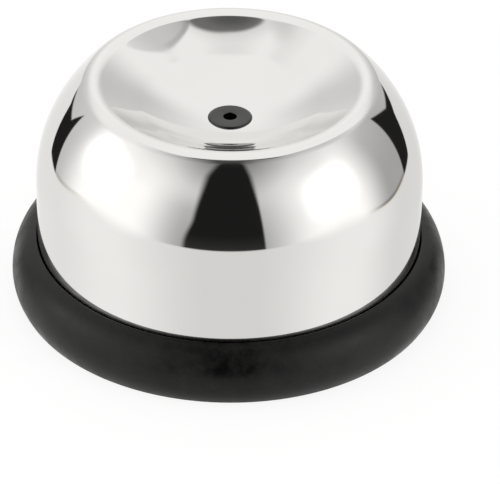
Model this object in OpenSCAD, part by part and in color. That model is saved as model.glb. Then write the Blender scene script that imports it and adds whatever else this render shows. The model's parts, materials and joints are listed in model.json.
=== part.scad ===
// Egg piercer: a sprung steel head slides down over a fixed needle, which then stands out of the dish.
// Frame: +Z up, Z 0 is the surface that the piercer stands on, and the Z axis is the needle's axis.
// A knob under the base turns a quarter turn about Z and draws the needle down out of reach.

/* [Dome] */
// Outer diameter of the steel dome's straight wall
dome_d = 52.6; // [50.4:0.2:63.2]
// Overall height, from the standing surface to the crest of the rim
total_h = 32.1; // [31:0.1:38]
// Height at which the straight wall starts to curve inwards
shoulder_z = 16.5; // [15:0.5:18]
// Diameter of the circle along the crest of the rim
rim_d = 36.7; // [35:0.1:40]
// Outside radius of the rounded rim
rim_round = 2.3; // [1.8:0.1:2.8]
// Depth of the dish below the crest of the rim
dish_depth = 6.15; // [4.8:0.05:6.2]
// Steepest slope of the dish, in its outer band, in degrees
dish_slope = 28.5; // [27:0.5:31]
// Thickness of the dome's sheet steel
sheet_t = 0.6; // [0.4:0.05:0.8]

/* [Guide bush] */
// Diameter of the bush's flange in the middle of the dish
bush_flange_d = 6.0; // [5.8:0.1:7.6]
// Height of the flange's top above the dish
bush_proud = 0.4; // [0.4:0.05:0.8]
// Width of the rounding round the flange's top
bush_edge_w = 0.6; // [0.3:0.1:0.8]
// Diameter of the hole that the needle comes out of
bush_bore_d = 1.8; // [1.8:0.1:2.6]
// Diameter of the bush's stem
bush_stem_d = 4.6; // [4.2:0.1:5]

/* [Base ring] */
// Width of the rubber ring outside the gap round the dome
ring_w = 3.4; // [3:0.1:5]
// Height of the ring's crown
ring_h = 7.95; // [7.8:0.05:10]
// Height of the ring's widest line
ring_belly_z = 2.5; // [2:0.1:3.5]
// How full the ring's shoulder is: 2 is an ellipse, and more is squarer
ring_fullness = 2.2; // [1.8:0.1:2.8]
// How far inside the ring's lip the outline would reach its crest
crown_inset = 0.5; // [0.4:0.1:1.4]
// How much narrower the foot is than the widest line, on each side
foot_undercut = 0.7; // [0.5:0.1:1.4]
// Radius that softens the ring's inner lip
lip_round = 0.2; // [0.2:0.05:0.4]
// Open gap between the dome and the ring's lip
lip_gap = 0.15; // [0.15:0.05:0.6]

/* [Travel] */
// How far the head slides down when an egg is pressed on it
travel = 3.8; // [3:0.1:4.6]
// How far the lock draws the needle down
lift = 3.4; // [3:0.1:4.1]
// How deep the needle's tip lies below the bush's top at rest
tip_recess = 1.0; // [0.8:0.1:1.4]

/* [Needle] */
// Diameter of the needle
needle_d = 1.2; // [1:0.1:1.5]
// Length of the needle's ground point
point_l = 3.0; // [2:0.5:4]
// Diameter of the sliding needle carrier
carrier_d = 6.0; // [5.6:0.2:6.6]
// Diameter of the carrier's neck, which grips the needle
neck_d = 3.8; // [3.2:0.2:4.4]
// Length of the neck above the carrier
neck_l = 2.35; // [2:0.05:2.6]
// Diameter of the cross pin that rides in the lock's cam
cam_pin_d = 1.4; // [1.2:0.1:1.7]

/* [Lock knob] */
// Diameter of the knob's face under the base
knob_d = 18.0; // [17:0.5:20]
// Depth of the two finger pockets
pocket_depth = 4.0; // [3:0.2:4.8]
// Width of the grip bar between the pockets
grip_w = 3.8; // [3:0.2:4.6]
// Width of the knob's flange, which the base holds
knob_flange_w = 1.2; // [1:0.1:1.4]
// Thickness of the wall of the knob's cam sleeve
sleeve_wall = 1.5; // [1.2:0.1:1.8]

/* [Chassis and cover] */
// Thickness of the chassis's deck
deck_t = 1.5; // [1.2:0.1:2]
// Thickness of the chassis's outer wall
wall_t = 1.4; // [1.2:0.1:1.6]
// Open gap between that wall and the dome's inner face
wall_gap = 0.4; // [0.3:0.05:0.6]
// Thickness of the flange that the rubber ring grips
flange_t = 1.8; // [1.4:0.1:2]
// Wall of the tower that stands round the cam sleeve
tower_wall = 1.5; // [1.2:0.1:1.8]
// Thickness of the bottom cover
cover_t = 1.4; // [1.2:0.1:1.6]
// Height of the bottom cover above the standing surface
cover_rise = 0.8; // [0.5:0.1:1]

/* [Return spring] */
// Diameter of the spring's wire
wire_d = 1.0; // [0.8:0.05:1.1]
// Number of curls in the spring
curls = 5.25; // [4:0.25:5.5]

/* [Magnets and fasteners] */
// Diameter of each magnet
magnet_d = 10.0; // [8:0.5:12]
// Thickness of each magnet
magnet_t = 3.0; // [2:0.1:3.6]
// Diameter of the head's three guide posts
post_d = 5.0; // [4.4:0.2:6]
// Diameter of the washers that stop the head's rise
washer_d = 7.6; // [7:0.2:8.6]
// Thickness of those washers
washer_t = 0.6; // [0.4:0.1:0.8]
// Diameter of the screws in the guide posts
head_screw_d = 2.2; // [2:0.1:2.6]
// Diameter of the screws that hold the bottom cover
cover_screw_d = 2.0; // [1.8:0.1:2.4]

/* [Clearances] */
// Radial clearance of what slides or turns
run = 0.1; // [0.06:0.01:0.1]
// Clearance between pieces that are assembled tight
snug = 0.05; // [0.03:0.01:0.08]
// Free space beside a moving piece
free = 0.3; // [0.2:0.05:0.4]

/* [Hidden] */
$fn = 72;
over = 0.5;      // how far a cut runs past the face that it opens

// The dome's outline: wall, shoulder arc, rim arc and dish arc, each tangent to the next
dome_r = dome_d / 2;
rim_r = rim_d / 2;
rim_c = [rim_r, total_h - rim_round];
rim_in = dome_r - rim_r;
shoulder_rise = rim_c[1] - shoulder_z;
shoulder_round = (rim_in * rim_in + shoulder_rise * shoulder_rise - rim_round * rim_round)
    / (2 * (rim_in - rim_round));
shoulder_c = [dome_r - shoulder_round, shoulder_z];
shoulder_a = atan2(rim_c[1] - shoulder_c[1], rim_c[0] - shoulder_c[0]);
dish_z = total_h - dish_depth;
dish_round = (rim_r * tan(dish_slope) - dish_depth) / (1 / cos(dish_slope) - 1) - rim_round;
dish_c = [0, dish_z + dish_round];

// The base's levels, from the bottom cover up
cover_top = cover_rise + cover_t;
knob_z = cover_rise + run;
pocket_top = knob_z + pocket_depth;
knob_roof_t = 1.3;
knob_top = pocket_top + knob_roof_t;
deck_z = knob_top + run;
deck_top = deck_z + deck_t;
ring_foot_t = 1.45;
flange_z = ring_foot_t + snug;
flange_top = flange_z + flange_t;
skirt_z = flange_top + travel + free;

// The cam: the pin's height with the needle ready and with it locked away
cam_pin_r = cam_pin_d / 2;
cam_pin_low = deck_top + cam_pin_r + run + snug;
cam_pin_z = cam_pin_low + lift;
carrier_r = carrier_d / 2;
carrier_z = cam_pin_z - cam_pin_r - 0.7;
carrier_top = cam_pin_z + cam_pin_r + 1.5;
neck_top = carrier_top + neck_l;
sleeve_in = carrier_r + run;
sleeve_out = sleeve_in + sleeve_wall;
tower_in = sleeve_out + run;
tower_out = tower_in + tower_wall;
sleeve_top = cam_pin_z + cam_pin_r + 1.25;
tower_top = carrier_top + 0.35;
cam_pin_l = 2 * (tower_out - 0.6);

// The head's levels, from the tower up
stop_gap = 0.1;
web_z = tower_top + travel + stop_gap;
web_t = 2.0;
web_top = web_z + web_t;
stem_z = neck_top + travel + free;
retainer_t = 0.35;
retainer_z = stem_z + 0.25;
retainer_d = 8.4;
retainer_room_top = retainer_z + retainer_t + snug;
bush_top = dish_z + bush_proud;
tip_z = bush_top - tip_recess;
needle_z = cam_pin_z + cam_pin_r + 0.02;

// Radii of the base and of what lies inside the dome
wall_out = dome_r - sheet_t - wall_gap;
wall_in = wall_out - wall_t;
lip_r = dome_r + lip_gap;
base_r = lip_r + ring_w;
ring_cover = 1.65;       // rubber outside the chassis's flange
flange_r = base_r - ring_cover - snug;
foot_in = wall_in + 0.4;
cover_r = wall_in - free;
knob_r = knob_d / 2;
knob_flange_r = knob_r + knob_flange_w;
knob_room_r = knob_flange_r + 2 * run;
well_r = knob_r + 2 * run;
well_wall_r = knob_room_r + 1.8;

// The guide posts, the magnets and the cover's screws stand in turn round the base.
// The posts and magnets stand midway between the knob's room and the outer wall.
mid_pcr = (knob_room_r + wall_in) / 2;
guide_bore_r = post_d / 2 + run;
guide_r = post_d / 2 + 1.5;
washer_room_r = washer_d / 2 + 0.4;
guide_boss_r = washer_room_r + 1.3;
post_pcr = mid_pcr;
post_angles = [90, 210, 330];
head_screw_head_t = 1.3;
guide_shoulder = cover_top + free + head_screw_head_t + washer_t + travel + snug;
post_end = guide_shoulder - snug;
magnet_r = magnet_d / 2;
magnet_cup_r = magnet_r + 1.3;
magnet_pcr = mid_pcr;
magnet_angles = [30, 150, 270];
magnet_z = cover_top + snug;
cover_head_d = 3.8;
cover_head_t = 1.1;
cover_boss_r = cover_head_d / 2 + 0.75;
cover_screw_pcr = cover_r - cover_boss_r - 0.25;
cover_screw_angles = [0, 120, 240];
cover_boss_top = cover_top + 1.2;
cover_head_z = cover_rise + 0.15;
cover_screw_end = deck_top - 0.6;

// Points along an arc about c, from angle a0 to a1, in steps of about 3 degrees
function arc(c, r, a0, a1) =
    let (n = max(2, ceil(abs(a1 - a0) / 3)))
    [for (i = [0:n]) let (a = a0 + (a1 - a0) * i / n) c + r * [cos(a), sin(a)]];

function reversed(points) = [for (i = [len(points) - 1:-1:0]) points[i]];

// The dome's outline at a depth t below its outer face, from the skirt up and in to radius r_end
function dome_line(t, r_end) = concat(
    [[dome_r - t, skirt_z]],
    arc(shoulder_c, shoulder_round - t, 0, shoulder_a),
    arc(rim_c, rim_round - t, shoulder_a + 2, 90 + dish_slope),
    arc(dish_c, dish_round + t, -90 + dish_slope, -90 + asin(r_end / (dish_round + t)))
);

module revolve(points) rotate_extrude() polygon(points);

module at(angles, radius) for (a = angles) rotate([0, 0, a]) translate([radius, 0, 0]) children();

// A ring sector, cut from r0 to r1 between two angles
module sector(r0, r1, a0, a1, z0, z1)
    translate([0, 0, z0]) rotate([0, 0, a0])
        rotate_extrude(angle = a1 - a0) translate([r0, 0]) square([r1 - r0, z1 - z0]);

// A round-headed screw pointing up, its head's seat at Z 0
module screw(d, head_d, head_t, length) revolve([
    [0, -head_t], [0.3 * head_d, -head_t], [0.45 * head_d, -0.7 * head_t],
    [0.5 * head_d, -0.35 * head_t], [0.5 * head_d, 0], [d / 2, 0],
    [d / 2, length - 0.4 * d], [0.2 * d, length], [0, length]
]);

// Press head

module dome_shell() {
    hole_r = bush_stem_d / 2 + 2 * snug;
    color("gainsboro")
        revolve(concat(dome_line(0, hole_r), reversed(dome_line(sheet_t, hole_r))));
}

// The flange's underside clears the dish, which rises towards the flange's edge
module guide_bush() {
    r = bush_flange_d / 2;
    stem_r = bush_stem_d / 2;
    bore_r = bush_bore_d / 2;
    seat_z = dish_c[1] - sqrt(dish_round * dish_round - r * r) + 0.02;
    edge_h = 0.85 * (bush_top - seat_z);
    groove_r = stem_r - 0.35;
    color("#1c1c1e") revolve(concat(
        [[bore_r, stem_z], [stem_r, stem_z], [stem_r, retainer_z - 0.02],
         [groove_r, retainer_z - 0.02], [groove_r, retainer_z + retainer_t + 0.02],
         [stem_r, retainer_z + retainer_t + 0.02], [stem_r, seat_z], [r, seat_z]],
        [for (a = [0:15:90])
            [r - bush_edge_w * (1 - cos(a)), bush_top - edge_h * (1 - sin(a))]],
        [[bore_r + 0.1, bush_top], [bore_r, bush_top - 0.1]]
    ));
}

// A push-on retainer: spring fingers between slots grip the groove in the bush's stem
module bush_retainer() {
    grip_r = bush_stem_d / 2 - 0.3;
    color("silver") translate([0, 0, retainer_z]) linear_extrude(retainer_t) difference() {
        circle(r = retainer_d / 2);
        circle(r = grip_r);
        for (a = [0:60:300]) rotate([0, 0, a])
            translate([0, -0.3]) square([grip_r + 0.9, 0.6]);
    }
}

// The moulding inside the dome: band, web, ribs up to the dish, and three posts down
module head_carrier() {
    band_z = deck_top + travel + 1.0;
    band_r = dome_r - sheet_t - snug;
    band_in = wall_in - 0.3;
    inner_r = shoulder_round - sheet_t - 0.25;
    web_rim_r = shoulder_c[0] + sqrt(pow(inner_r, 2) - pow(web_top - shoulder_c[1], 2));
    sleeve_r = retainer_d / 2 + 1.8;
    stem_hole_r = bush_stem_d / 2 + snug;
    room_r = retainer_d / 2 + 0.4;
    spring_rim_r = spring_r + wire_d / 2 + 0.25;
    rib_ring_r = rim_r - rim_round - 2.1;
    rib_t = 1.4;
    dish_room = sheet_t + snug;
    pilot_r = head_screw_d / 2 + snug;
    color("#26272a") difference() {
        union() {
            difference() {
                union() {
                    revolve([
                        [stem_hole_r, retainer_room_top], [room_r, retainer_room_top],
                        [room_r, web_z], [spring_rim_r, web_z], [spring_rim_r, web_z - 1.6],
                        [spring_rim_r + 1.1, web_z - 1.6], [spring_rim_r + 1.1, web_z],
                        [band_in, web_z], [band_in, band_z], [band_r, band_z],
                        [band_r, shoulder_z], [web_rim_r, web_top],
                        [rib_ring_r, web_top], [rib_ring_r, total_h],
                        [rib_ring_r - rib_t, total_h], [rib_ring_r - rib_t, web_top],
                        [sleeve_r, web_top], [sleeve_r, total_h], [stem_hole_r, total_h]
                    ]);
                    for (a = [0:60:300]) rotate([0, 0, a])
                        translate([sleeve_r - 0.4, -rib_t / 2, web_top - 0.4])
                            cube([rib_ring_r - rib_t - sleeve_r + 0.8, rib_t, total_h - web_top]);
                }
                revolve(concat(
                    arc(dish_c, dish_round + dish_room, -90, -90 + dish_slope),
                    [rim_c + (rim_round - dish_room) * [-sin(dish_slope), cos(dish_slope)],
                     [rim_r, total_h + 1], [0, total_h + 1]]
                ));
            }
            at(post_angles, post_pcr) translate([0, 0, post_end])
                cylinder(r = post_d / 2, h = web_z - post_end + 0.4);
        }
        at(post_angles, post_pcr) translate([0, 0, post_end - over])
            cylinder(r = pilot_r, h = head_screw_l - washer_t + over + 0.5);
        at([0:60:300], (rib_ring_r + band_in) / 2 + 0.4)
            translate([0, 0, web_z - over]) cylinder(r = 2.4, h = web_t + 2 * over);
    }
}

head_screw_l = 7.5;

module head_screws() color("silver") at(post_angles, post_pcr)
    translate([0, 0, post_end - washer_t])
        screw(head_screw_d, 2 * head_screw_d, head_screw_head_t, head_screw_l);

module head_washers() color("lightgray") at(post_angles, post_pcr)
    translate([0, 0, post_end - washer_t]) difference() {
        cylinder(r = washer_d / 2, h = washer_t);
        translate([0, 0, -over]) cylinder(r = head_screw_d / 2 + snug, h = washer_t + 2 * over);
    }

// Return spring: one unbroken tube, swept along a helix between the deck and the head's web

spring_rings = 8;        // rings of points to a curl
spring_sides = 6;
spring_r = (tower_out + free + wire_d / 2) / cos(180 / spring_rings);
spring_low = deck_top + wire_d / 2 + 0.02;
spring_high = web_z - wire_d / 2 - 0.02;
spring_steps = ceil(curls * spring_rings);
spring_pitch = (spring_high - spring_low) / curls;
spring_gap = spring_pitch * 2 * PI * spring_r / sqrt(pow(spring_pitch, 2) + pow(2 * PI * spring_r, 2))
    - wire_d;
echo(str("return spring: least gap between curls ", spring_gap, " mm"));

// The ring of points round the wire at step i, square to the helix
function spring_ring(i) =
    let (
        a = 360 * curls * i / spring_steps,
        z = spring_low + (spring_high - spring_low) * i / spring_steps,
        slope = atan2(spring_pitch, 2 * PI * spring_r),
        out = [cos(a), sin(a), 0],
        up = [sin(a) * sin(slope), -cos(a) * sin(slope), cos(slope)]
    )
    [for (k = [0:spring_sides - 1])
        let (b = 360 * k / spring_sides)
        spring_r * out + [0, 0, z] + wire_d / 2 * (cos(b) * out + sin(b) * up)];

module return_spring() {
    n = spring_sides;
    points = [for (i = [0:spring_steps]) each spring_ring(i)];
    last = spring_steps * n;
    sides = [for (i = [0:spring_steps - 1]) for (k = [0:n - 1])
        let (a = i * n + k, b = i * n + (k + 1) % n)
        each [[a, b, b + n], [a, b + n, a + n]]];
    caps = [for (k = [1:n - 2]) each [[0, k + 1, k], [last, last + k, last + k + 1]]];
    color("silver") polyhedron(points = points, faces = concat(sides, caps), convexity = 12);
}

// Needle unit: the pin carries the needle's thrust, and the lock's cam carries the pin

module needle() color("whitesmoke") revolve([
    [0, needle_z], [needle_d / 2 - 0.1, needle_z], [needle_d / 2, needle_z + 0.1],
    [needle_d / 2, tip_z - point_l], [needle_d / 8, tip_z - point_l / 5], [0.03, tip_z], [0, tip_z]
]);

module needle_carrier() color("ivory") difference() {
    revolve([
        [0, carrier_z], [carrier_r - 0.3, carrier_z], [carrier_r, carrier_z + 0.3],
        [carrier_r, carrier_top - 0.3], [carrier_r - 0.3, carrier_top], [neck_d / 2, carrier_top],
        [neck_d / 2, neck_top - 0.3], [neck_d / 2 - 0.3, neck_top], [0, neck_top]
    ]);
    translate([0, 0, needle_z]) cylinder(r = needle_d / 2 + 0.02, h = neck_top);
    translate([0, 0, cam_pin_z]) rotate([0, 90, 0])
        cylinder(r = cam_pin_r + 0.02, h = 2 * carrier_r + 1, center = true);
}

module cam_pin() color("silver") translate([0, 0, cam_pin_z]) rotate([0, 90, 0]) rotate_extrude()
    polygon([
        [0, -cam_pin_l / 2], [cam_pin_r - 0.2, -cam_pin_l / 2], [cam_pin_r, 0.2 - cam_pin_l / 2],
        [cam_pin_r, cam_pin_l / 2 - 0.2], [cam_pin_r - 0.2, cam_pin_l / 2], [0, cam_pin_l / 2]
    ]);

// Lock knob

turn = 90;               // degrees between ready and locked
cam_room = 0.12;         // clearance on each side of the pin in the cam slot
cam_slices = 36;
lug_half = 8;            // half the stop lug's width, degrees
lug_slack = 1.5;         // degrees left at each stop
lug_a = 45;

// The volume that the cross pin sweeps through the sleeve as the knob turns: it climbs with azimuth
cam_low = cam_pin_low - cam_pin_r - cam_room;
cam_high = cam_pin_z + cam_pin_r + cam_room;
cam_near = sleeve_in - 0.6;
cam_arc = sleeve_in * turn * PI / 180;
cam_half_a = (cam_pin_r + cam_room) * norm([lift, cam_arc]) / (sleeve_in * lift) * 180 / PI;
cam_far = (sleeve_out + 0.3) / cos(cam_half_a);

function cam_section(i) =
    let (
        z = cam_low + (cam_high - cam_low) * i / cam_slices,
        a = (z - cam_pin_z) * turn / lift,
        corners = [[cam_near, -1], [cam_far, -1], [cam_far, 1], [cam_near, 1]]
    )
    [for (c = corners) let (b = a + c[1] * cam_half_a) [c[0] * cos(b), c[0] * sin(b), z]];

module cam_slot() {
    points = [for (i = [0:cam_slices]) each cam_section(i)];
    top = 4 * cam_slices;
    sides = [for (i = [0:cam_slices - 1]) for (k = [0:3])
        let (a = 4 * i + k, b = 4 * i + (k + 1) % 4)
        each [[a, b + 4, b], [a, a + 4, b + 4]]];
    caps = [[0, 1, 2], [0, 2, 3], [top, top + 2, top + 1], [top, top + 3, top + 2]];
    polyhedron(points = points, faces = concat(sides, caps), convexity = 6);
}

module lock_knob() {
    pocket_r = knob_r - 1.4;
    flange_low = cover_top + run;
    flange_high = flange_low + 1.2;
    color("#202124") difference() {
        union() {
            revolve([
                [0, knob_z], [knob_r - 0.4, knob_z], [knob_r, knob_z + 0.4], [knob_r, flange_low],
                [knob_flange_r, flange_low], [knob_flange_r, flange_high], [knob_r, flange_high],
                [knob_r, knob_top - 0.4], [knob_r - 0.4, knob_top],
                [sleeve_out, knob_top], [sleeve_out, sleeve_top],
                [sleeve_in, sleeve_top], [sleeve_in, knob_top], [0, knob_top]
            ]);
            sector(knob_flange_r - 0.4, knob_flange_r + 0.8, lug_a - lug_half, lug_a + lug_half,
                flange_low, flange_high);
        }
        for (side = [0, 180]) rotate([0, 0, side]) {
            translate([0, 0, knob_z - over]) linear_extrude(pocket_depth + over) intersection() {
                circle(r = pocket_r);
                translate([-knob_r, grip_w / 2]) square([knob_d, knob_r]);
            }
            cam_slot();
        }
        translate([knob_r - 3.4, 0, knob_z - over]) linear_extrude(over + 0.35)
            polygon([[0, -0.9], [2.2, 0], [0, 0.9]]);
    }
}

// Base

// One moulding: deck, well for the knob, tower, outer wall and the flange inside the rubber ring
module chassis() {
    ledge_z = cover_top + run + 1.2 + run;
    well_foot = cover_top + 0.2;
    boss_foot = well_foot + 0.2;
    boss_top = guide_shoulder + 1.0;
    guide_top = web_z - travel - stop_gap;
    magnet_roof = magnet_z + magnet_t + snug;
    screw_boss_z = cover_boss_top + 0.1;
    notch_r = knob_flange_r + 1.0;
    color("#2b2c2f") difference() {
        union() {
            revolve([
                [tower_in, deck_z], [well_r, deck_z], [well_r, ledge_z],
                [knob_room_r, ledge_z], [knob_room_r, well_foot],
                [well_wall_r, well_foot], [well_wall_r, deck_z], [wall_in, deck_z],
                [wall_in, flange_z], [flange_r, flange_z], [flange_r, flange_top],
                [wall_out, flange_top], [wall_out, deck_top - 0.5], [wall_out - 0.5, deck_top],
                [tower_out + 0.4, deck_top], [tower_out, deck_top + 0.02],
                [tower_out, tower_top], [tower_in, tower_top]
            ]);
            difference() {
                union() {
                    at(post_angles, post_pcr) translate([0, 0, boss_foot])
                        cylinder(r = guide_boss_r, h = boss_top - boss_foot);
                    at(magnet_angles, magnet_pcr) translate([0, 0, boss_foot])
                        cylinder(r = magnet_cup_r, h = deck_z + over - boss_foot);
                }
                cylinder(r = (knob_room_r + well_wall_r) / 2, h = deck_z + 0.3);
            }
            at(post_angles, post_pcr) translate([0, 0, deck_z])
                cylinder(r = guide_r, h = guide_top - deck_z);
            at(cover_screw_angles, cover_screw_pcr) translate([0, 0, screw_boss_z])
                cylinder(r = cover_screw_d / 2 + 1.4, h = deck_z + over - screw_boss_z);
            for (a = [0:60:300]) rotate([0, 0, a])
                translate([well_wall_r - over, -0.6, screw_boss_z])
                    cube([wall_in - well_wall_r + 2 * over, 1.2, deck_z - screw_boss_z + over]);
        }
        at(post_angles, post_pcr) {
            translate([0, 0, well_foot - over])
                cylinder(r = washer_room_r, h = guide_shoulder - well_foot + over);
            cylinder(r = guide_bore_r, h = total_h);
        }
        at(magnet_angles, magnet_pcr) translate([0, 0, well_foot - over])
            cylinder(r = magnet_r + snug, h = magnet_roof - well_foot + over);
        at(cover_screw_angles, cover_screw_pcr) translate([0, 0, screw_boss_z - over])
            cylinder(r = cover_screw_d / 2 + snug, h = cover_screw_end + 0.2 - screw_boss_z + over);
        translate([0, 0, (cam_pin_low + cam_pin_z) / 2])
            cube([2 * tower_out + 1, cam_pin_d + 2 * run, lift + cam_pin_d + 2 * run], center = true);
        sector(knob_flange_r, notch_r, lug_a - lug_half - lug_slack,
            lug_a + turn + lug_half + lug_slack, well_foot - over, ledge_z);
    }
}

mark_r = knob_r + 2.6;

module bottom_cover() {
    shank_r = cover_screw_d / 2 + snug;
    seat_z = cover_head_z + cover_head_t;
    color("#222326") difference() {
        union() {
            revolve([
                [knob_r + 2 * run, cover_rise + 0.3], [knob_r + 2 * run + 0.3, cover_rise],
                [cover_r - 0.4, cover_rise], [cover_r, cover_rise + 0.4], [cover_r, cover_top],
                [knob_r + 2 * run, cover_top]
            ]);
            at(cover_screw_angles, cover_screw_pcr) translate([0, 0, cover_top - 0.4])
                cylinder(r = cover_boss_r, h = cover_boss_top - cover_top + 0.4);
        }
        at(cover_screw_angles, cover_screw_pcr) {
            translate([0, 0, cover_rise - over])
                cylinder(r = cover_head_d / 2 + 0.15, h = seat_z + snug - cover_rise + over);
            translate([0, 0, cover_rise]) cylinder(r = shank_r, h = 2 * cover_boss_top);
        }
        translate([mark_r, 0, cover_rise - over]) cylinder(r = 0.7, h = over + 0.35);
        translate([0, mark_r, cover_rise - over]) difference() {
            cylinder(r = 1.1, h = over + 0.35);
            translate([0, 0, -over]) cylinder(r = 0.55, h = 3 * over);
        }
    }
}

module cover_screws() color("silver") at(cover_screw_angles, cover_screw_pcr)
    translate([0, 0, cover_head_z + cover_head_t])
        screw(cover_screw_d, cover_head_d, cover_head_t, cover_screw_end - cover_head_z - cover_head_t);

module magnet(i) color("lightslategray") at([magnet_angles[i]], magnet_pcr) translate([0, 0, magnet_z])
    revolve([
        [0, 0], [magnet_r - 0.2, 0], [magnet_r, 0.2],
        [magnet_r, magnet_t - 0.2], [magnet_r - 0.2, magnet_t], [0, magnet_t]
    ]);

// The rubber ring: a rounded bead outside, a groove that grips the chassis's flange inside
module base_ring() {
    crest_r = lip_r - crown_inset;
    crown_w = base_r - crest_r;
    crown_h = ring_h - ring_belly_z;
    lip_a = acos(pow((crown_inset + lip_round) / crown_w, ring_fullness / 2));
    lip_z = ring_belly_z + crown_h * pow(sin(lip_a), 2 / ring_fullness);
    under_round = (pow(foot_undercut, 2) + pow(ring_belly_z, 2)) / (2 * foot_undercut);
    under_c = [base_r - under_round, ring_belly_z];
    under_a = asin(ring_belly_z / under_round);
    land = (base_r - foot_undercut - foot_in) / 5;
    tread = 0.4;
    color("#17181a") revolve(concat(
        [[foot_in, 0], [foot_in + land, 0], [foot_in + land, tread], [foot_in + 1.5 * land, tread],
         [foot_in + 1.5 * land, 0], [foot_in + 3.5 * land, 0], [foot_in + 3.5 * land, tread],
         [foot_in + 4 * land, tread], [foot_in + 4 * land, 0]],
        arc(under_c, under_round, -under_a, 0),
        [for (i = [1:24]) let (a = lip_a * i / 24)
            [crest_r + crown_w * pow(cos(a), 2 / ring_fullness),
             ring_belly_z + crown_h * pow(sin(a), 2 / ring_fullness)]],
        arc([lip_r + lip_round, lip_z - lip_round], lip_round, 100, 180),
        [[lip_r, flange_top + snug], [flange_r + snug, flange_top + snug],
         [flange_r + snug, ring_foot_t], [foot_in, ring_foot_t]]
    ));
}

dome_shell();
guide_bush();
bush_retainer();
head_carrier();
head_screws();
head_washers();
return_spring();
needle();
needle_carrier();
cam_pin();
lock_knob();
chassis();
bottom_cover();
cover_screws();
magnet(0);  // magnet_1
magnet(1);  // magnet_2
magnet(2);  // magnet_3
base_ring();
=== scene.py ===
"""Egg piercer: finishes, finely turned steel and rubber, screws and spring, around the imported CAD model."""

import json
from collections import namedtuple
from math import acos, asin, atan2, ceil, cos, degrees, floor, hypot, pi, radians, sin, tan

import bmesh
import bpy
from mathutils import Matrix, Vector


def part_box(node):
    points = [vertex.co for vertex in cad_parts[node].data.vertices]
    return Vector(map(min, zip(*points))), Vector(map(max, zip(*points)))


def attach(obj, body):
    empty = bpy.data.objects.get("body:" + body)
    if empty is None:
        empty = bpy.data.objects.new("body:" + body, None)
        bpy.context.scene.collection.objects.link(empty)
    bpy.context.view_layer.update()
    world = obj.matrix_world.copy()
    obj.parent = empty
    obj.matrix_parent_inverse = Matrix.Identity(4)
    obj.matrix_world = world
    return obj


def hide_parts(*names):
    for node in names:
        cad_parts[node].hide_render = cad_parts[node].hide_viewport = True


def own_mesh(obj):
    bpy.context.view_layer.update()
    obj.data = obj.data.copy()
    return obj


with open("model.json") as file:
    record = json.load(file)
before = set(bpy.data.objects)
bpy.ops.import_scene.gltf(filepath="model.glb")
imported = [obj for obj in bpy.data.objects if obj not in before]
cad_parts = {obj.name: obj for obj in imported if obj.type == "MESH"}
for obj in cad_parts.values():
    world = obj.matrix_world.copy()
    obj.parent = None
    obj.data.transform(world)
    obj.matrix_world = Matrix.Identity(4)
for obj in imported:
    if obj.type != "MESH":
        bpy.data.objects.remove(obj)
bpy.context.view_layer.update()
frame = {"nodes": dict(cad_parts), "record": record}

MM = 0.001
NODES = frame["nodes"]
TURN = 2 * pi
WHITE = (1, 1, 1, 1)

# Camera, fitted to the photograph's frame

IMAGE_W = 500
IMAGE_H = 484
SENSOR_MM = 36
CAMERA_ELEVATION = 33.40     # degrees above the horizon
CAMERA_ROLL = 0.507          # degrees, counter-clockwise
CAMERA_DISTANCE = 498 * MM
FOCAL_PX = 3648              # focal length in pixels of the photograph
AIM_Z = 14 * MM              # height on the needle's axis of the point that the camera was fitted to
AIM_PX = (229.41, 192.73)    # where the photograph shows that point


def make_camera():
    """The camera looks along +Y from the front, turned a little so that the aim point falls on AIM_PX."""
    data = bpy.data.cameras.new("camera")
    data.sensor_width = SENSOR_MM
    data.lens = SENSOR_MM * FOCAL_PX / IMAGE_W
    data.clip_start = 0.01
    data.clip_end = 20
    camera = link("camera", data)
    elevation = radians(CAMERA_ELEVATION)
    back = Vector((0, -cos(elevation), sin(elevation)))
    to_aim = Vector((AIM_PX[0] - IMAGE_W / 2, IMAGE_H / 2 - AIM_PX[1], -FOCAL_PX))
    turned = to_aim.rotation_difference(Vector((0, 0, -1))).to_matrix()
    look = (-back).to_track_quat("-Z", "Y").to_matrix()
    roll = Matrix.Rotation(radians(CAMERA_ROLL), 3, "Z")
    camera.matrix_world = (look @ roll @ turned).to_4x4()
    camera.location = Vector((0, 0, AIM_Z)) + back * CAMERA_DISTANCE
    bpy.context.scene.camera = camera


# Shader arithmetic


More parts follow.
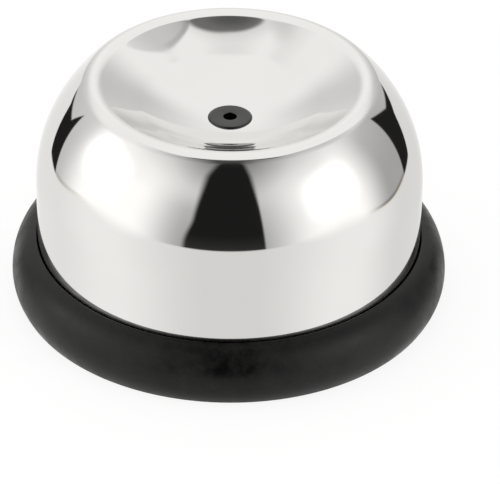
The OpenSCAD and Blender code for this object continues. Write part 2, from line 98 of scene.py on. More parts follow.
class Maths:
    """Arithmetic in one node tree. Methods take sockets or numbers and return their result's socket."""

    def __init__(self, tree):
        self.tree = tree

    def plug(self, socket, value):
        if isinstance(value, bpy.types.NodeSocket):
            self.tree.links.new(value, socket)
        else:
            socket.default_value = value

    def do(self, operation, *values):
        node = self.tree.nodes.new("ShaderNodeMath")
        node.operation = operation
        for socket, value in zip(node.inputs, values):
            self.plug(socket, value)
        return node.outputs[0]

    def add(self, a, b):
        return self.do("ADD", a, b)

    def less(self, a, b):
        return self.do("SUBTRACT", a, b)

    def times(self, a, b):
        return self.do("MULTIPLY", a, b)

    def opposite(self, a):
        return self.do("SUBTRACT", 1.0, a)

    def rise(self, value, low, high):
        """0 where the value is under low, 1 where it is over high, and smooth between."""
        node = self.tree.nodes.new("ShaderNodeMapRange")
        node.interpolation_type = "SMOOTHSTEP"
        for name, given in zip(("Value", "From Min", "From Max"), (value, low, high)):
            self.plug(node.inputs[name], given)
        return node.outputs[0]

    def fall(self, value, low, high):
        """1 where the value is under low, 0 where it is over high, and smooth between."""
        return self.opposite(self.rise(value, low, high))

    def past(self, value, edge, soft):
        """0 before the edge and 1 past it, smooth over soft on either side."""
        return self.rise(value, self.less(edge, soft), self.add(edge, soft))

    def between(self, value, low, high, soft):
        """1 where the value lies between low and high, with soft edges."""
        return self.times(self.past(value, low, soft), self.opposite(self.past(value, high, soft)))

    def blend(self, a, b, share):
        """a where share is 0, b where it is 1."""
        return self.add(self.times(a, self.opposite(share)), self.times(b, share))

    def darken(self, light, share, part):
        """The light with a part of it taken away where share is 1."""
        return self.times(light, self.less(1.0, self.times(share, part)))


# Studio: tones by direction, with angles in degrees

WALL_LIGHT = 0.40
LANE_LIGHT = 0.07            # darkest place overhead
OVERHEAD_LIGHT = 0.93        # brightest place overhead
CEILING_LIGHT = 0.72
PATCH_LIGHT = 0.09
BOX_LIGHT = 1.15
CORE_LIGHT = 5.0
TABLE_LIGHT = 0.73
GAP_LIGHT = 0.012
SIDE_GAP_LIGHT = 0.014
PLAIN_TINT = (1.0, 0.995, 0.983, 1)
LEDGE_TINT = (1.0, 0.94, 0.86, 1)
LANE_Y = -0.2                # the dark lane's middle, towards the camera from the zenith
LANE_HALF = 0.15
RIGHT_GAP = 122.4            # azimuth at which the dark gap on the right starts
LEFT_GAP = -123.5
GAP_LEFT_EDGE = -22.8        # azimuths of the front gap's edges at the horizon
GAP_RIGHT_EDGE = 20.2


class Studio:
    """What the object sees in a direction, given as x to the right, y to the back and z up."""

    def __init__(self, m, x, y, z):
        self.m = m
        self.x = x
        self.y = y
        # 0 towards the camera, positive to the right
        self.azimuth = m.do("DEGREES", m.do("ARCTAN2", x, m.times(y, -1.0)))
        self.side = m.do("ABSOLUTE", self.azimuth)
        self.height = m.do("DEGREES", m.do("ARCSINE", z))
        self.is_left = m.fall(x, -0.2, 0.2)
        self.is_back = m.rise(self.side, 150.0, 178.0)

    def by_side(self, left, right):
        return self.m.blend(right, left, self.is_left)

    def beyond(self, start, right, front):
        """How far the direction lies past a slanting line overhead that crosses y = 0 at start."""
        return self.m.less(self.m.times(self.m.less(self.x, start), right), self.m.times(self.y, front))

    def walls(self):
        """Pale walls, brighter at the back and higher up."""
        m = self.m
        left = m.add(WALL_LIGHT, m.times(m.rise(self.side, 60.0, 120.0), 0.18))
        right = m.add(WALL_LIGHT, m.times(m.rise(self.side, 122.0, 150.0), 0.12))
        light = m.add(self.by_side(left, right), m.times(self.is_back, 0.27))
        return m.add(light, m.times(m.rise(self.height, -5.0, 40.0), 0.16))

    def overhead(self):
        """A dark lane over the camera, brighter with the distance from it, and dimmer over the right wall."""
        m = self.m
        along = m.do("MAXIMUM", m.less(m.do("ABSOLUTE", m.less(self.y, LANE_Y)), LANE_HALF), 0.0)
        away = m.do("SQRT", m.add(m.times(self.x, self.x), m.times(along, along)))
        left = m.do("MINIMUM", m.times(m.less(away, 0.05), 1.55), m.add(0.30, m.times(away, 0.80)))
        right = m.do("MINIMUM", m.times(m.less(away, 0.02), 1.25), m.add(0.42, m.times(away, 0.42)))
        light = m.add(self.by_side(left, right), m.times(m.rise(self.y, -0.2, 0.2), 0.14))
        light = m.add(light, m.times(m.rise(self.y, 0.3, 0.6), 0.10))
        light = m.do("MINIMUM", m.do("MAXIMUM", light, LANE_LIGHT), OVERHEAD_LIGHT)
        dim = m.times(m.between(self.azimuth, 92.0, 134.0, 16.0), m.fall(self.height, 56.0, 74.0))
        return m.darken(light, dim, 0.22)

    def ceiling(self, light):
        """Adds the white ceiling behind the zenith, a grey streak on its right and a dark patch before it."""
        m = self.m
        facet = self.beyond(0.245, 0.829, 0.559)
        open_left = self.beyond(-0.25, -0.9, 0.42)
        white = m.times(m.fall(facet, -0.006, 0.006), m.fall(open_left, -0.03, 0.08))
        white = m.times(white, m.rise(self.y, 0.008, 0.030))
        light = m.blend(light, m.add(CEILING_LIGHT, m.times(m.rise(self.y, 0.0, 0.12), 0.22)), white)
        streak = m.times(m.between(facet, 0.002, 0.02, 0.006), m.between(self.y, 0.0, 0.26, 0.04))
        light = m.darken(light, streak, 0.18)
        slanted = m.less(self.y, m.times(m.do("MAXIMUM", self.x, 0.0), 0.12))
        patch = m.times(m.rise(self.y, -0.072, -0.048), m.fall(slanted, 0.008, 0.032))
        patch = m.times(patch, m.between(self.x, -0.24, 0.31, 0.04))
        return m.blend(light, m.add(PATCH_LIGHT, m.times(m.rise(self.y, -0.03, 0.015), 0.07)), patch)

    def softboxes(self, light):
        """Adds a softbox on each side, with a bright core that the rubber shows as a soft highlight."""
        m = self.m
        inner = self.by_side(23.0, 11.0)
        outer = self.by_side(92.0, 78.0)
        box = m.times(m.rise(self.side, inner, 60.0), m.fall(self.side, outer, m.add(outer, 29.0)))
        light = m.blend(light, BOX_LIGHT, m.times(box, m.fall(self.height, 22.0, 56.0)))
        core = self.by_side(m.between(self.side, 84.0, 94.0, 20.0), m.between(self.side, 62.0, 70.0, 20.0))
        return m.add(light, m.times(m.times(core, m.between(self.height, 16.0, 24.0, 16.0)), CORE_LIGHT))

    def above_table(self):
        """Height over the table's far edge, which drops towards the sides."""
        m = self.m
        drop = self.by_side(m.rise(self.side, 80.0, 124.0), m.rise(self.side, 62.0, 112.0))
        front = m.less(-5.0, m.times(drop, 9.6))
        edge = m.blend(front, self.by_side(-1.5, -4.5), m.rise(self.side, 132.5, 140.5))
        return m.less(self.height, edge)

    def ledge(self, above):
        """Share of the brown ledge at the table's far edge. It is weaker on the left."""
        m = self.m
        band = m.times(m.between(above, -1.0, 1.6, 0.8), m.between(self.side, 92.0, 124.0, 10.0))
        return m.times(band, self.by_side(0.5, 1.0))

    def front_gap(self):
        """Share of the dark gap in front. Its left edge leans out at the bottom, and its top is soft."""
        m = self.m
        high = m.rise(self.height, 48.0, 64.0)
        left = m.add(m.add(GAP_LEFT_EDGE, m.times(self.height, 0.075)), m.times(high, 8.0))
        left = m.less(left, m.times(m.fall(self.height, 0.0, 18.0), 2.6))
        right = m.less(m.less(GAP_RIGHT_EDGE, m.times(self.height, 0.05)), m.times(high, 3.0))
        soft = m.times(m.rise(self.height, 20.0, 60.0), 2.6)
        gap = m.times(m.past(self.azimuth, left, m.add(soft, 2.0)),
                      m.opposite(m.past(self.azimuth, right, m.add(soft, 0.9))))
        return m.times(gap, m.fall(self.height, 56.0, 84.0))

    def side_gap(self, across, tip, slope, shelf, shelf_slope):
        """A dark gap that starts at across 0. Its top falls from tip and goes on along a flatter shelf."""
        m = self.m
        falling = m.less(tip, m.times(across, slope))
        top = m.do("MAXIMUM", falling, m.less(shelf, m.times(across, shelf_slope)))
        return m.times(m.rise(across, -0.7, 0.7), m.fall(m.less(self.height, top), -0.7, 0.7))

    def side_gaps(self):
        """Share of the dark gaps at the sides. The left one leans outwards with its height."""
        m = self.m
        right = self.side_gap(m.less(self.azimuth, RIGHT_GAP), 17.8, 1.05, 10.0, 0.5)
        right = m.times(right, m.fall(self.azimuth, 149.0, 152.0))
        start = m.less(LEFT_GAP, m.times(self.height, 0.13))
        left = self.side_gap(m.less(start, self.azimuth), 13.6, 1.8, 4.8, 0.25)
        left = m.times(left, m.rise(self.azimuth, -147.0, -144.0))
        return m.do("MAXIMUM", left, right)

    def table(self):
        """The table: darkest near the camera, and a little darker again beyond the softboxes."""
        m = self.m
        light = m.add(TABLE_LIGHT, m.times(m.rise(self.side, 12.0, 72.0), 0.20))
        light = m.less(light, m.times(m.rise(self.side, 80.0, 120.0), self.by_side(0.10, 0.18)))
        return m.add(light, m.times(self.is_back, 0.15))

    def light_and_brown(self):
        """The light from the direction, and how brown it is."""
        m = self.m
        over = self.ceiling(self.overhead())
        light = m.blend(self.walls(), over, m.rise(self.height, 22.0, 42.0))
        light = self.softboxes(light)
        above = self.above_table()
        brown = self.ledge(above)
        light = m.darken(light, brown, 0.44)
        gap_light = m.add(GAP_LIGHT, m.times(m.fall(self.height, -6.0, 8.0), 0.016))
        light = m.blend(light, gap_light, self.front_gap())
        light = m.blend(light, SIDE_GAP_LIGHT, self.side_gaps())
        soft = m.add(0.6, m.times(m.between(self.side, 46.0, 84.0, 14.0), 5.4))
        light = m.blend(light, self.table(), m.fall(above, m.times(soft, -1.0), soft))
        return light, brown


def make_studio():
    """A world that shows the studio to the object and plain white to the camera."""
    world = bpy.data.worlds.new("studio")
    bpy.context.scene.world = world
    world.use_nodes = True
    tree = world.node_tree
    tree.nodes.clear()
    direction = tree.nodes.new("ShaderNodeTexCoord").outputs["Generated"]
    axes = tree.nodes.new("ShaderNodeSeparateXYZ")
    tree.links.new(direction, axes.inputs[0])
    light, brown = Studio(Maths(tree), *axes.outputs).light_and_brown()
    surroundings = tree.nodes.new("ShaderNodeBackground")
    tree.links.new(mixed_colour(tree, PLAIN_TINT, LEDGE_TINT, brown), surroundings.inputs["Color"])
    tree.links.new(light, surroundings.inputs["Strength"])
    backdrop = tree.nodes.new("ShaderNodeBackground")
    backdrop.inputs["Color"].default_value = WHITE
    seen = tree.nodes.new("ShaderNodeLightPath").outputs["Is Camera Ray"]
    output = tree.nodes.new("ShaderNodeOutputWorld")
    tree.links.new(mixed_shader(tree, surroundings, backdrop, seen), output.inputs[0])


def mixed_colour(tree, a, b, share):
    """The colour from a to b by share."""
    node = tree.nodes.new("ShaderNodeMix")
    node.data_type = "RGBA"
    node.inputs[6].default_value = a
    node.inputs[7].default_value = b
    tree.links.new(share, node.inputs[0])
    return node.outputs[2]


def mixed_shader(tree, a, b, share):
    """The shader from a to b by share."""
    node = tree.nodes.new("ShaderNodeMixShader")
    tree.links.new(share, node.inputs[0])
    tree.links.new(a.outputs[0], node.inputs[1])
    tree.links.new(b.outputs[0], node.inputs[2])
    return node.outputs[0]


FLOOR_R = 1.6
FLOOR_FADE_R = 0.2           # from here outwards the floor fades into the white behind it
FLOOR_Z = -0.02 * MM
FLOOR_GREY = (0.22, 0.22, 0.22, 1)
FLOOR_GLOW = 0.86


def make_floor():
    """A pale disc. The steel sees the studio's table in its place, and from below it is clear."""
    mesh = bpy.data.meshes.new("floor")
    b = bmesh.new()
    bmesh.ops.create_circle(b, cap_ends=True, radius=FLOOR_R, segments=128)
    b.to_mesh(mesh)
    b.free()
    floor = link("floor", mesh)
    floor.location.z = FLOOR_Z
    floor.visible_glossy = False

    material = bpy.data.materials.new("pale_floor")
    material.use_nodes = True
    tree = material.node_tree
    tree.nodes.clear()
    m = Maths(tree)
    diffuse = tree.nodes.new("ShaderNodeBsdfDiffuse")
    diffuse.inputs["Color"].default_value = FLOOR_GREY
    glow = tree.nodes.new("ShaderNodeEmission")
    glow.inputs["Color"].default_value = WHITE
    glow.inputs["Strength"].default_value = FLOOR_GLOW
    both = tree.nodes.new("ShaderNodeAddShader")
    tree.links.new(diffuse.outputs[0], both.inputs[0])
    tree.links.new(glow.outputs[0], both.inputs[1])
    clear = tree.nodes.new("ShaderNodeBsdfTransparent")
    far = tree.nodes.new("ShaderNodeVectorMath")
    far.operation = "LENGTH"
    tree.links.new(tree.nodes.new("ShaderNodeTexCoord").outputs["Object"], far.inputs[0])
    edge = m.rise(far.outputs["Value"], FLOOR_FADE_R, 0.9 * FLOOR_R)
    under = tree.nodes.new("ShaderNodeNewGeometry").outputs["Backfacing"]
    output = tree.nodes.new("ShaderNodeOutputMaterial")
    tree.links.new(mixed_shader(tree, both, clear, m.do("MAXIMUM", edge, under)), output.inputs[0])
    mesh.materials.append(material)


# Materials


class Finish:
    """One procedural material around a Principled shader, with textures in the object's own metres."""

    def __init__(self, name, **numbers):
        self.material = bpy.data.materials.new(name)
        self.material.use_nodes = True
        self.tree = self.material.node_tree
        self.shader = self.tree.nodes["Principled BSDF"]
        self.m = Maths(self.tree)
        self.place = self.tree.nodes.new("ShaderNodeTexCoord").outputs["Object"]
        self.normal = None
        for socket, value in numbers.items():
            self.shader.inputs[socket.replace("_", " ")].default_value = value

    def noise(self, size, detail=3.0, rough=0.5, place=None):
        """Noise from 0 to 1 with features about size metres across."""
        node = self.tree.nodes.new("ShaderNodeTexNoise")
        node.inputs["Scale"].default_value = 1 / size
        node.inputs["Detail"].default_value = detail
        node.inputs["Roughness"].default_value = rough
        self.tree.links.new(place or self.place, node.inputs["Vector"])
        return node.outputs["Fac"]

    def stretched(self, factors):
        """The place with each axis scaled by its factor."""
        node = self.tree.nodes.new("ShaderNodeVectorMath")
        node.operation = "MULTIPLY"
        self.tree.links.new(self.place, node.inputs[0])
        node.inputs[1].default_value = factors
        return node.outputs[0]

    def turned(self):
        """The place as distance from the Z axis and height, so that a texture runs round the axis."""
        axes = self.tree.nodes.new("ShaderNodeSeparateXYZ")
        self.tree.links.new(self.place, axes.inputs[0])
        x, y, z = axes.outputs
        node = self.tree.nodes.new("ShaderNodeCombineXYZ")
        self.m.plug(node.inputs[0], self.m.do("SQRT", self.m.add(self.m.times(x, x), self.m.times(y, y))))
        self.m.plug(node.inputs[1], z)
        return node.outputs[0]

    def colour(self, a, b, share):
        """Base colour from a to b by share."""
        mixed = mixed_colour(self.tree, (*a, 1), (*b, 1), share)
        self.tree.links.new(mixed, self.shader.inputs["Base Color"])

    def roughness(self, low, high, share):
        self.tree.links.new(self.m.blend(low, high, share), self.shader.inputs["Roughness"])

    def bump(self, height, depth):
        """Relief of depth metres, over what was added before."""
        node = self.tree.nodes.new("ShaderNodeBump")
        node.inputs["Strength"].default_value = 1.0
        node.inputs["Distance"].default_value = depth
        self.tree.links.new(height, node.inputs["Height"])
        if self.normal is not None:
            self.tree.links.new(self.normal, node.inputs["Normal"])
        self.normal = node.outputs[0]
        self.tree.links.new(self.normal, self.shader.inputs["Normal"])


def polished_steel():
    """Mirror polish: fine turning marks only vary the roughness."""
    f = Finish("polished_steel", Metallic=1.0)
    marks = f.noise(0.35 * MM, 4, place=f.turned())
    cloud = f.noise(9 * MM, 4)
    f.colour((0.90, 0.895, 0.885), (0.86, 0.855, 0.845), cloud)
    f.roughness(0.030, 0.060, f.m.times(marks, cloud))
    return f.material


def black_rubber():
    """Matte rubber with a faint cloudy bloom and a fine grain."""
    f = Finish("black_rubber")
    f.shader.inputs["Specular IOR Level"].default_value = 0.34
    bloom = f.noise(3.6 * MM, 6, 0.68)
    grain = f.noise(0.30 * MM, 2, 0.6)
    f.colour((0.0015, 0.0015, 0.0015), (0.010, 0.0097, 0.0090), f.m.rise(bloom, 0.40, 0.72))
    f.roughness(0.27, 0.48, f.m.rise(bloom, 0.3, 0.7))
    f.bump(grain, 0.008 * MM)
    f.bump(bloom, 0.06 * MM)
    return f.material


def moulded(name, dark, light, rough_low, rough_high, grain_mm=0.22, depth_mm=0.006, shine=0.45):
    """Injection-moulded plastic with a spark-eroded grain."""
    f = Finish(name)
    f.shader.inputs["Specular IOR Level"].default_value = shine
    cloud = f.noise(6 * MM, 4)
    grain = f.noise(grain_mm * MM, 2, 0.6)
    f.colour(dark, light, cloud)
    f.roughness(rough_low, rough_high, grain)
    f.bump(grain, depth_mm * MM)
    return f.material


def metal(name, dark, light, rough_low, rough_high, size_mm=0.12, stretch=None):
    """Plain metal with fine working marks, which may be drawn out along an axis."""
    f = Finish(name, Metallic=1.0)
    cloud = f.noise(2.5 * MM, 4)
    marks = f.noise(size_mm * MM, 3, 0.6, f.stretched(stretch) if stretch else None)
    f.colour(dark, light, cloud)
    f.roughness(rough_low, rough_high, marks)
    f.bump(marks, 0.001 * MM)
    return f.material


MATERIALS = {
    "polished_steel": polished_steel(),
    "black_rubber": black_rubber(),
    "bush_plastic": moulded("bush_plastic", (0.002, 0.002, 0.002), (0.004, 0.004, 0.0038), 0.12, 0.19,
                            grain_mm=0.15, depth_mm=0.001, shine=0.72),
    "chassis_plastic": moulded("chassis_plastic", (0.030, 0.031, 0.034), (0.042, 0.043, 0.047), 0.45, 0.62),
    "cover_plastic": moulded("cover_plastic", (0.022, 0.023, 0.025), (0.032, 0.033, 0.035), 0.48, 0.66),
    "knob_plastic": moulded("knob_plastic", (0.042, 0.043, 0.046), (0.056, 0.057, 0.060), 0.36, 0.50,
                            grain_mm=0.18, depth_mm=0.004),
    "carrier_plastic": moulded("carrier_plastic", (0.038, 0.039, 0.043), (0.052, 0.053, 0.057), 0.45, 0.60),
    "needle_carrier_plastic": moulded("needle_carrier_plastic", (0.76, 0.73, 0.64), (0.84, 0.81, 0.72),
                                      0.35, 0.50, grain_mm=0.2, depth_mm=0.002),
    "needle_steel": metal("needle_steel", (0.74, 0.75, 0.76), (0.82, 0.83, 0.84), 0.12, 0.24,
                          size_mm=0.06, stretch=(1, 1, 0.05)),
    "spring_steel": metal("spring_steel", (0.56, 0.57, 0.58), (0.68, 0.69, 0.70), 0.22, 0.38),
    "screw_steel": metal("screw_steel", (0.54, 0.55, 0.57), (0.66, 0.67, 0.69), 0.24, 0.40),
    "retainer_steel": metal("retainer_steel", (0.44, 0.46, 0.50), (0.58, 0.59, 0.61), 0.22, 0.36),
    "magnet_nickel": metal("magnet_nickel", (0.62, 0.61, 0.58), (0.70, 0.69, 0.66), 0.18, 0.32),
}

# The record's slots, by CAD node
SLOTS = {row["node"]: row["material_slot"] for row in frame["record"]["subparts"]}


def finish_nodes():
    """Gives every CAD node its procedural material."""
    for name, node in NODES.items():
        node.data.materials.clear()
        node.data.materials.append(MATERIALS[SLOTS[name]])


# Mesh making


def arc(centre, radius, start, end, step=2.0):
    """Points in the (radius, height) plane along an arc, angles in degrees."""
    count = max(2, ceil(abs(end - start) / step))
    angles = [radians(start + (end - start) * i / count) for i in range(count + 1)]
    return [(centre[0] + radius * cos(a), centre[1] + radius * sin(a)) for a in angles]


def thinned(points, least=1e-4):
    """The outline without points that fall on the one before, in millimetres."""
    kept = []
    for p in points:
        if not kept or hypot(p[0] - kept[-1][0], p[1] - kept[-1][1]) > least:
            kept.append(p)
    if hypot(kept[0][0] - kept[-1][0], kept[0][1] - kept[-1][1]) <= least:
        kept.pop()
    return kept


def skin(b, rings, closed):
    """Faces between neighbouring rings of places. A ring of one place is a pole."""
    made = [[b.verts.new(p) for p in ring] for ring in rings]
    for low, high in zip(made, made[1:] + (made[:1] if closed else [])):
        count = max(len(low), len(high))
        for k in range(count if count > 1 else 0):
            n = k + 1
            corners = [low[k % len(low)], low[n % len(low)], high[n % len(high)], high[k % len(high)]]
            b.faces.new([v for i, v in enumerate(corners) if v not in corners[:i]])


def ring_of(r, z, steps):
    """Places round the Z axis at a radius and a height."""
    if r < 1e-6:
        return [(0, 0, z)]
    return [(r * cos(TURN * k / steps), r * sin(TURN * k / steps), z) for k in range(steps)]


def lathe(name, outline, steps):
    """A closed outline in millimetres turned about Z."""
    b = bmesh.new()
    skin(b, [ring_of(r, z, steps) for r, z in thinned(outline)], True)
    return solid(name, b)


def solid(name, b, corner=28.0):
    """The object of a mesh made in millimetres. Edges that turn by more than corner degrees stay crisp."""
    mesh = bpy.data.meshes.new(name)
    bmesh.ops.scale(b, vec=(MM, MM, MM), verts=b.verts)
    bmesh.ops.recalc_face_normals(b, faces=b.faces)
    for face in b.faces:
        face.smooth = True
    for edge in b.edges:
        edge.smooth = edge.calc_face_angle(0.0) < radians(corner)
    b.to_mesh(mesh)
    b.free()
    return link(name, mesh)


def link(name, data):
    """A new object in the scene."""
    obj = bpy.data.objects.new(name, data)
    bpy.context.scene.collection.objects.link(obj)
    return obj


def place(obj, body, slot, *nodes):
    """The piece rides on its body, takes its slot's finish and stands for its CAD nodes."""
    obj.data.materials.append(MATERIALS[slot])
    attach(obj, body)
    if nodes:
        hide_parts(*nodes)
    return obj


# The dome's outline in millimetres: the CAD model's, with the dish's outer band crowned by up to 0.1

DOME_LOW, DOME_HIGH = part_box("dome_shell")
DOME_R = DOME_HIGH.x / MM
TOP_Z = DOME_HIGH.z / MM
SKIRT_Z = DOME_LOW.z / MM
SHEET_T = 0.6
SHEET_EDGE = 0.12            # rounding of the skirt's sheet edge
SHOULDER_Z = 16.5
RIM_R = 18.35
RIM_ROUND = 2.3
DISH_HOLE_R = 2.4
BAND_IN = 12.1               # radius at which the dish's ball meets its outer band
BAND_BEND = 13.2             # from here outwards the band grows steeper
SLOPE_IN = 27.8
SLOPE_OUT = 30.4

RIM_C = (RIM_R, TOP_Z - RIM_ROUND)
RIM_IN = DOME_R - RIM_R
SHOULDER_RISE = RIM_C[1] - SHOULDER_Z
SHOULDER_ROUND = (RIM_IN ** 2 + SHOULDER_RISE ** 2 - RIM_ROUND ** 2) / (2 * (RIM_IN - RIM_ROUND))
SHOULDER_C = (DOME_R - SHOULDER_ROUND, SHOULDER_Z)
SHOULDER_A = degrees(atan2(RIM_C[1] - SHOULDER_C[1], RIM_C[0] - SHOULDER_C[0]))
DISH_ROUND = BAND_IN / sin(radians(SLOPE_IN))
BAND_OUT = RIM_R - RIM_ROUND * sin(radians(SLOPE_OUT))
ROUND_STEPS = 256


def dish_slope(r):
    """Slope of the dish at a radius, in degrees."""
    if r <= BAND_IN:
        return degrees(asin(r / DISH_ROUND))
    t = min(1, max(0, (r - BAND_BEND) / (BAND_OUT - BAND_BEND)))
    return SLOPE_IN + (SLOPE_OUT - SLOPE_IN) * t * t * (3 - 2 * t)


def dish_line(r_end, count=90):
    """Radius, height and slope along the dish's upper face, from the rim inwards."""
    z = RIM_C[1] + RIM_ROUND * cos(radians(SLOPE_OUT))
    radii = [BAND_OUT + (r_end - BAND_OUT) * i / count for i in range(count + 1)]
    line = [(BAND_OUT, z, SLOPE_OUT)]
    for a, b in zip(radii, radii[1:]):
        z -= (a - b) * tan(radians(dish_slope((a + b) / 2)))
        line.append((b, z, dish_slope(b)))
    return line


def dome_line(depth, step):
    """The dome's line at a depth under its outer face, from the shoulder over the rim to the dish's hole."""
    dish = [(r + depth * sin(radians(s)), z - depth * cos(radians(s))) for r, z, s in dish_line(DISH_HOLE_R)]
    return (arc(SHOULDER_C, SHOULDER_ROUND - depth, 0, SHOULDER_A, step)
            + arc(RIM_C, RIM_ROUND - depth, SHOULDER_A, 90 + SLOPE_OUT, 1.6 * step)[1:-1]
            + dish)


def make_dome():
    """The drawn steel shell, with a softly broken sheet edge at the skirt."""
    inner_r = DOME_R - SHEET_T
    skirt = (arc((inner_r + SHEET_EDGE, SKIRT_Z + SHEET_EDGE), SHEET_EDGE, 180, 270, 15)
             + arc((DOME_R - SHEET_EDGE, SKIRT_Z + SHEET_EDGE), SHEET_EDGE, -90, 0, 15)
             + [(DOME_R, SKIRT_Z + 1 + 2 * i) for i in range(4)])
    return lathe("steel_dome", skirt + dome_line(0, 1.0) + dome_line(SHEET_T, 4)[::-1], ROUND_STEPS)


# Base ring

RING_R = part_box("base_ring")[1].x / MM
LIP_R = DOME_R + 0.10
LIP_ROUND = 0.2
LIP_FOOT_Z = 5.5
RING_H = 7.95
BELLY_Z = 2.5
FULLNESS = 2.0               # exponent of the crown's superellipse
CROWN_INSET = 0.5
CROWN_STEPS = 40
FOOT_UNDERCUT = 0.7
FOOT_IN = 24.3
FOOT_T = 1.45
FLANGE_TOP = 3.3
FLANGE_GAP = 0.05
GROOVE_R = 28.2
TREAD_DEPTH = 0.4
TREAD_GROOVES = ((1, 1.5), (3.5, 4))     # where each starts and ends, in fifths of the foot's width


def ring_crown(crest_r, angle):
    """The crown's superellipse from the belly up to an angle round its crest."""
    turns = [angle * i / CROWN_STEPS for i in range(1, CROWN_STEPS + 1)]
    return [(crest_r + (RING_R - crest_r) * cos(a) ** (2 / FULLNESS),
             BELLY_Z + (RING_H - BELLY_Z) * sin(a) ** (2 / FULLNESS)) for a in turns]


def make_ring():
    """The rubber ring: bead, lip, flange groove and a foot with tread grooves."""
    crest_r = LIP_R - CROWN_INSET
    crown = ring_crown(crest_r, acos(((CROWN_INSET + LIP_ROUND) / (RING_R - crest_r)) ** (FULLNESS / 2)))
    lip_c = (LIP_R + LIP_ROUND, crown[-1][1] - LIP_ROUND)
    under_round = (FOOT_UNDERCUT ** 2 + BELLY_Z ** 2) / (2 * FOOT_UNDERCUT)
    under_a = degrees(asin(BELLY_Z / under_round))
    land = (RING_R - FOOT_UNDERCUT - FOOT_IN) / 5
    foot = [(FOOT_IN, 0)]
    for start, end in TREAD_GROOVES:
        low, high = FOOT_IN + start * land, FOOT_IN + end * land
        foot += [(low, 0), (low, TREAD_DEPTH), (high, TREAD_DEPTH), (high, 0)]
    inside = [(LIP_R, LIP_FOOT_Z), (LIP_R, FLANGE_TOP + FLANGE_GAP), (GROOVE_R, FLANGE_TOP + FLANGE_GAP),
              (GROOVE_R, FOOT_T), (FOOT_IN, FOOT_T)]
    outline = (foot + arc((RING_R - under_round, BELLY_Z), under_round, -under_a, 0)
               + crown + arc(lip_c, LIP_ROUND, 90, 180, 15) + inside)
    return lathe("rubber_ring", outline, ROUND_STEPS)


# Guide bush

BUSH_LOW, BUSH_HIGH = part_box("guide_bush")
BUSH_R = BUSH_HIGH.x / MM
BUSH_TOP = BUSH_HIGH.z / MM
STEM_Z = BUSH_LOW.z / MM
STEM_R = 2.3
BORE_R = 0.9
BORE_LEAD = 0.1
BEVEL_W = 0.24
BEVEL_H = 0.19
BEVEL_EASE = 0.03            # how far the bevel's upper corner is broken
CLIP_GROOVE = 0.35
CLIP_GAP = 0.02
SEAT_GAP = 0.02


def make_bush():
    """The black bush in the dish: a flange with a bevelled edge and a bore with a small lead-in."""
    seat_z = dish_line(BUSH_R)[-1][1] + SEAT_GAP
    clip_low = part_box("bush_retainer")[0].z / MM - CLIP_GAP
    clip_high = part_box("bush_retainer")[1].z / MM + CLIP_GAP
    groove_r = STEM_R - CLIP_GROOVE
    stem = [(BORE_R, STEM_Z), (STEM_R, STEM_Z), (STEM_R, clip_low), (groove_r, clip_low),
            (groove_r, clip_high), (STEM_R, clip_high), (STEM_R, seat_z)]
    face_r = BUSH_R - BEVEL_W
    flange = [(BUSH_R, seat_z), (BUSH_R, BUSH_TOP - BEVEL_H), (face_r, BUSH_TOP - BEVEL_EASE / 2),
              (face_r - BEVEL_EASE, BUSH_TOP), (face_r - 3 * BEVEL_EASE, BUSH_TOP)]
    lead = arc((BORE_R + BORE_LEAD, BUSH_TOP - BORE_LEAD), BORE_LEAD, 90, 180, 15)
    return lathe("dish_bush", stem + flange + lead, ROUND_STEPS // 2)


# Return spring

SPRING_LOW = 7.8
SPRING_HIGH = 18.5
SPRING_R = 7.45
SPRING_STEPS = 280
SPRING_CLOSING = 0.58        # how much the pitch shrinks towards the ends
WIRE_R = 0.5
WIRE_SIDES = 12
CURLS = 5.25


def wire_ring(u):
    """Places round the wire at a share u of its length."""
    low, rise = SPRING_LOW + WIRE_R, SPRING_HIGH - SPRING_LOW - 2 * WIRE_R
    a = TURN * CURLS * u
    z = low + rise * (u - SPRING_CLOSING * sin(TURN * u) / TURN)
    slope = atan2(rise * (1 - SPRING_CLOSING * cos(TURN * u)), TURN * CURLS * SPRING_R)
    out = Vector((cos(a), sin(a), 0))
    up = Vector((sin(a) * sin(slope), -cos(a) * sin(slope), cos(slope)))
    centre = SPRING_R * out + Vector((0, 0, z))
    turns = [TURN * k / WIRE_SIDES for k in range(WIRE_SIDES)]
    return [centre + WIRE_R * (cos(t) * out + sin(t) * up) for t in turns]


def make_spring():
    """Round wire along a helix whose ends are closed."""
    rings = [wire_ring(i / SPRING_STEPS) for i in range(SPRING_STEPS + 1)]
    ends = [[sum(ring, Vector()) / WIRE_SIDES] for ring in (rings[0], rings[-1])]
    b = bmesh.new()
    skin(b, [ends[0]] + rings + [ends[1]], False)
    return solid("round_wire_spring", b, 50)


# Screws

Screw = namedtuple("Screw", "d head_d head_t length")

HEAD_SCREW = Screw(2.2, 4.4, 1.3, 7.5)
POST_ANGLES = (90, 210, 330)
POST_PCR = 17.15
POST_END = 7.6

COVER_SCREW = Screw(2.0, 3.8, 1.1, 5.15)
COVER_ANGLES = (0, 120, 240)
COVER_PCR = 20.7
COVER_SEAT = 2.05

PITCH = 0.8
SCREW_STEPS = 36
CORE_SHARE = 0.36            # the thread's core radius in diameters
POINT_SHARE = 0.16           # the point's radius in diameters
# The pan head's line: radius in head diameters and height in head heights
HEAD_LINE = ((0, 1), (0.15, 1), (0.30, 0.99), (0.38, 0.92),
             (0.44, 0.76), (0.48, 0.52), (0.50, 0.25), (0.50, 0))


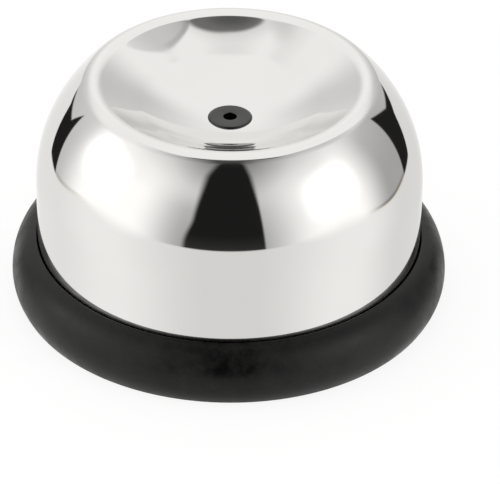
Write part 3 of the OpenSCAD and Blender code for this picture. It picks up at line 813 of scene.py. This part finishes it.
def cross_cutter(reach, half, depth, top):
    """A cross that narrows with its depth, for a screw's recess."""
    proud = top - 0.3
    rings = []
    for z, share in ((proud, 1.12), (top, 1.0), (top + depth, 0.55)):
        r, w = reach * share, half * (0.4 + 0.6 * share)
        rings.append([(c * x - s * y, s * x + c * y, z)
                      for c, s in ((1, 0), (0, 1), (-1, 0), (0, -1))
                      for x, y in ((r, -w), (r, w), (w, w))])
    b = bmesh.new()
    skin(b, [[(0, 0, proud)]] + rings + [[(0, 0, top + depth * 1.15)]], False)
    return b


def cut_out(b, cutter):
    """The mesh b without what lies in the cutter."""
    objs = []
    for name, part in (("whole", b), ("cutter", cutter)):
        bmesh.ops.recalc_face_normals(part, faces=part.faces)
        mesh = bpy.data.meshes.new(name)
        part.to_mesh(mesh)
        part.free()
        objs.append(link(name, mesh))
    bite = objs[0].modifiers.new("bite", "BOOLEAN")
    bite.operation = "DIFFERENCE"
    bite.solver = "EXACT"
    bite.object = objs[1]
    bitten = objs[0].evaluated_get(bpy.context.evaluated_depsgraph_get())
    done = bmesh.new()
    done.from_mesh(bitten.to_mesh())
    for obj in objs:
        mesh = obj.data
        bpy.data.objects.remove(obj)
        bpy.data.meshes.remove(mesh)
    return done


def thread_ring(screw, z):
    """Places round the screw at a height, where the thread's helix passes. It runs out under the head."""
    core = CORE_SHARE * screw.d
    run_out = min(1, max(0, z - 0.4))
    ring = []
    for k in range(SCREW_STEPS):
        turn = z / PITCH - k / SCREW_STEPS
        tooth = 1 - run_out * abs(2 * (turn - floor(turn)) - 1)
        r = core + (0.5 * screw.d - core) * tooth
        ring.append((r * cos(TURN * k / SCREW_STEPS), r * sin(TURN * k / SCREW_STEPS), z))
    return ring


def screw_mesh(screw):
    """One pan-head screw along Z, head down, with a cross recess and a helical thread."""
    rings = [ring_of(r * screw.head_d, -z * screw.head_t, SCREW_STEPS) for r, z in HEAD_LINE]
    rings.append(ring_of(0.5 * screw.d, 0, SCREW_STEPS))
    last = screw.length - 0.4 * screw.d
    rings += [thread_ring(screw, min(last, i * PITCH / 6)) for i in range(ceil(6 * last / PITCH) + 1)]
    rings += [ring_of(POINT_SHARE * screw.d, screw.length, SCREW_STEPS), [(0, 0, screw.length)]]
    b = bmesh.new()
    skin(b, rings, False)
    b = cut_out(b, cross_cutter(0.27 * screw.head_d, 0.07 * screw.head_d, 0.62 * screw.head_t, -screw.head_t))
    mesh = bpy.data.meshes.new("one_screw")
    b.to_mesh(mesh)
    b.free()
    return mesh


def make_screws(name, screw, angles, pcr, seat):
    """Screws at the angles on a circle, each with its cross at a turn of its own."""
    mesh = screw_mesh(screw)
    b = bmesh.new()
    for angle in angles:
        before = len(b.verts)
        b.from_mesh(mesh)
        b.verts.ensure_lookup_table()
        spin = Matrix.Rotation(radians(2.3 * angle + 17), 4, "Z")
        at = Matrix.Rotation(radians(angle), 4, "Z") @ Matrix.Translation((pcr, 0, seat)) @ spin
        bmesh.ops.transform(b, matrix=at, verts=b.verts[before:])
    bpy.data.meshes.remove(mesh)
    return solid(name, b, 32)


make_camera()
make_studio()
make_floor()
finish_nodes()
place(make_dome(), "press_head", "polished_steel", "dome_shell")
place(make_ring(), "base", "black_rubber", "base_ring")
place(make_bush(), "press_head", "bush_plastic", "guide_bush")
head_screws = make_screws("head_screw_set", HEAD_SCREW, POST_ANGLES, POST_PCR, POST_END)
place(head_screws, "press_head", "screw_steel", "head_screws")
cover_screws = make_screws("cover_screw_set", COVER_SCREW, COVER_ANGLES, COVER_PCR, COVER_SEAT)
place(cover_screws, "base", "screw_steel", "cover_screws")
spring = place(make_spring(), "base", "spring_steel", "return_spring")
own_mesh(spring)

scene = bpy.context.scene
scene.view_settings.view_transform = "Standard"
scene.view_settings.look = "None"
scene.view_settings.exposure = 0
scene.view_settings.gamma = 1
